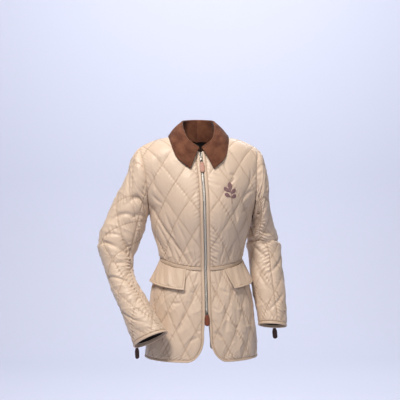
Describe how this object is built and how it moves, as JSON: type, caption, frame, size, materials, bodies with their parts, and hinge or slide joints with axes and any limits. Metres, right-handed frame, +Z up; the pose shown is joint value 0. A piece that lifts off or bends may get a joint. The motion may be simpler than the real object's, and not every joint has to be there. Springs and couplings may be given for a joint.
{
  "type": "quilted jacket",
  "caption": "Hip-length diamond-quilted jacket, hollow as worn: corduroy collar, front zip with leather pulls, slanted pocket flaps, bound edges, long sleeves.",
  "frame": {"origin": "centre of the neck base, level with the points where the shoulders meet the neck, where the wearer holds the garment up", "axes": "+Z up along the body, -Y out of the front, +X to the wearer's left"},
  "size_m": [0.5947, 0.2998, 0.7493],
  "materials": {
    "shell": "quilted satin nylon, soft sheen",
    "band": "folded satin binding, soft sheen",
    "corduroy": "fine-wale corduroy",
    "zip_metal": "aged nickel",
    "zip_tape": "woven tape",
    "leather": "smooth, worn at the edges",
    "lining": "dark smooth lining"
  },
  "bodies": {
    "jacket": {"back_edge_left": "band", "back_edge_right": "band", "bodice_back": "shell", "bodice_front_left": "shell", "bodice_front_right": "shell", "collar_leaf": "corduroy", "collar_stand": "corduroy", "cuff_edge_left": "band", "cuff_edge_right": "band", "cuff_slider_left": "zip_metal", "cuff_slider_right": "zip_metal", "cuff_zip_left": "zip_metal", "cuff_zip_right": "zip_metal", "front_edge_left": "band", "front_edge_right": "band", "pocket_flap_left": "shell", "pocket_flap_right": "shell", "skirt_back_left": "shell", "skirt_back_right": "shell", "skirt_front_left": "shell", "skirt_front_right": "shell", "sleeve_top_left": "shell", "sleeve_top_right": "shell", "sleeve_under_left": "shell", "sleeve_under_right": "shell", "waist_band_back": "band", "waist_band_front_left": "band", "waist_band_front_right": "band", "zip_chain": "zip_metal", "zip_slider_bottom": "zip_metal", "zip_slider_top": "zip_metal", "zip_tape_left": "zip_tape", "zip_tape_right": "zip_tape"},
    "top_pull": {"zip_pull_top_link": "zip_metal", "zip_pull_top_tab": "leather"},
    "bottom_pull": {"zip_pull_bottom_link": "zip_metal", "zip_pull_bottom_tab": "leather"},
    "left_cuff_pull": {"cuff_pull_left_link": "zip_metal", "cuff_pull_left_tab": "leather"},
    "right_cuff_pull": {"cuff_pull_right_link": "zip_metal", "cuff_pull_right_tab": "leather"}
  },
  "joints": [
    {"name": "left_cuff_pull_swing", "type": "hinge", "parent": "jacket", "child": "left_cuff_pull", "pos_m": [0.24794, 0.0305, -0.60119], "axis": [0.9692, -0.2292, 0.0899], "range_deg": [-20, 120]},
    {"name": "right_cuff_pull_swing", "type": "hinge", "parent": "jacket", "child": "right_cuff_pull", "pos_m": [-0.19689, -0.08265, -0.6414], "axis": [0.8244, 0.5614, 0.0723], "range_deg": [-20, 120]},
    {"name": "bottom_pull_swing", "type": "hinge", "parent": "jacket", "child": "bottom_pull", "pos_m": [0.01561, -0.12616, -0.53729], "axis": [-0.9986, -0.0523, 0], "range_deg": [0, 150]},
    {"name": "top_pull_swing", "type": "hinge", "parent": "jacket", "child": "top_pull", "pos_m": [0.00231, -0.08695, -0.07107], "axis": [-0.9987, -0.0192, -0.0462], "range_deg": [0, 150]}
  ]
}
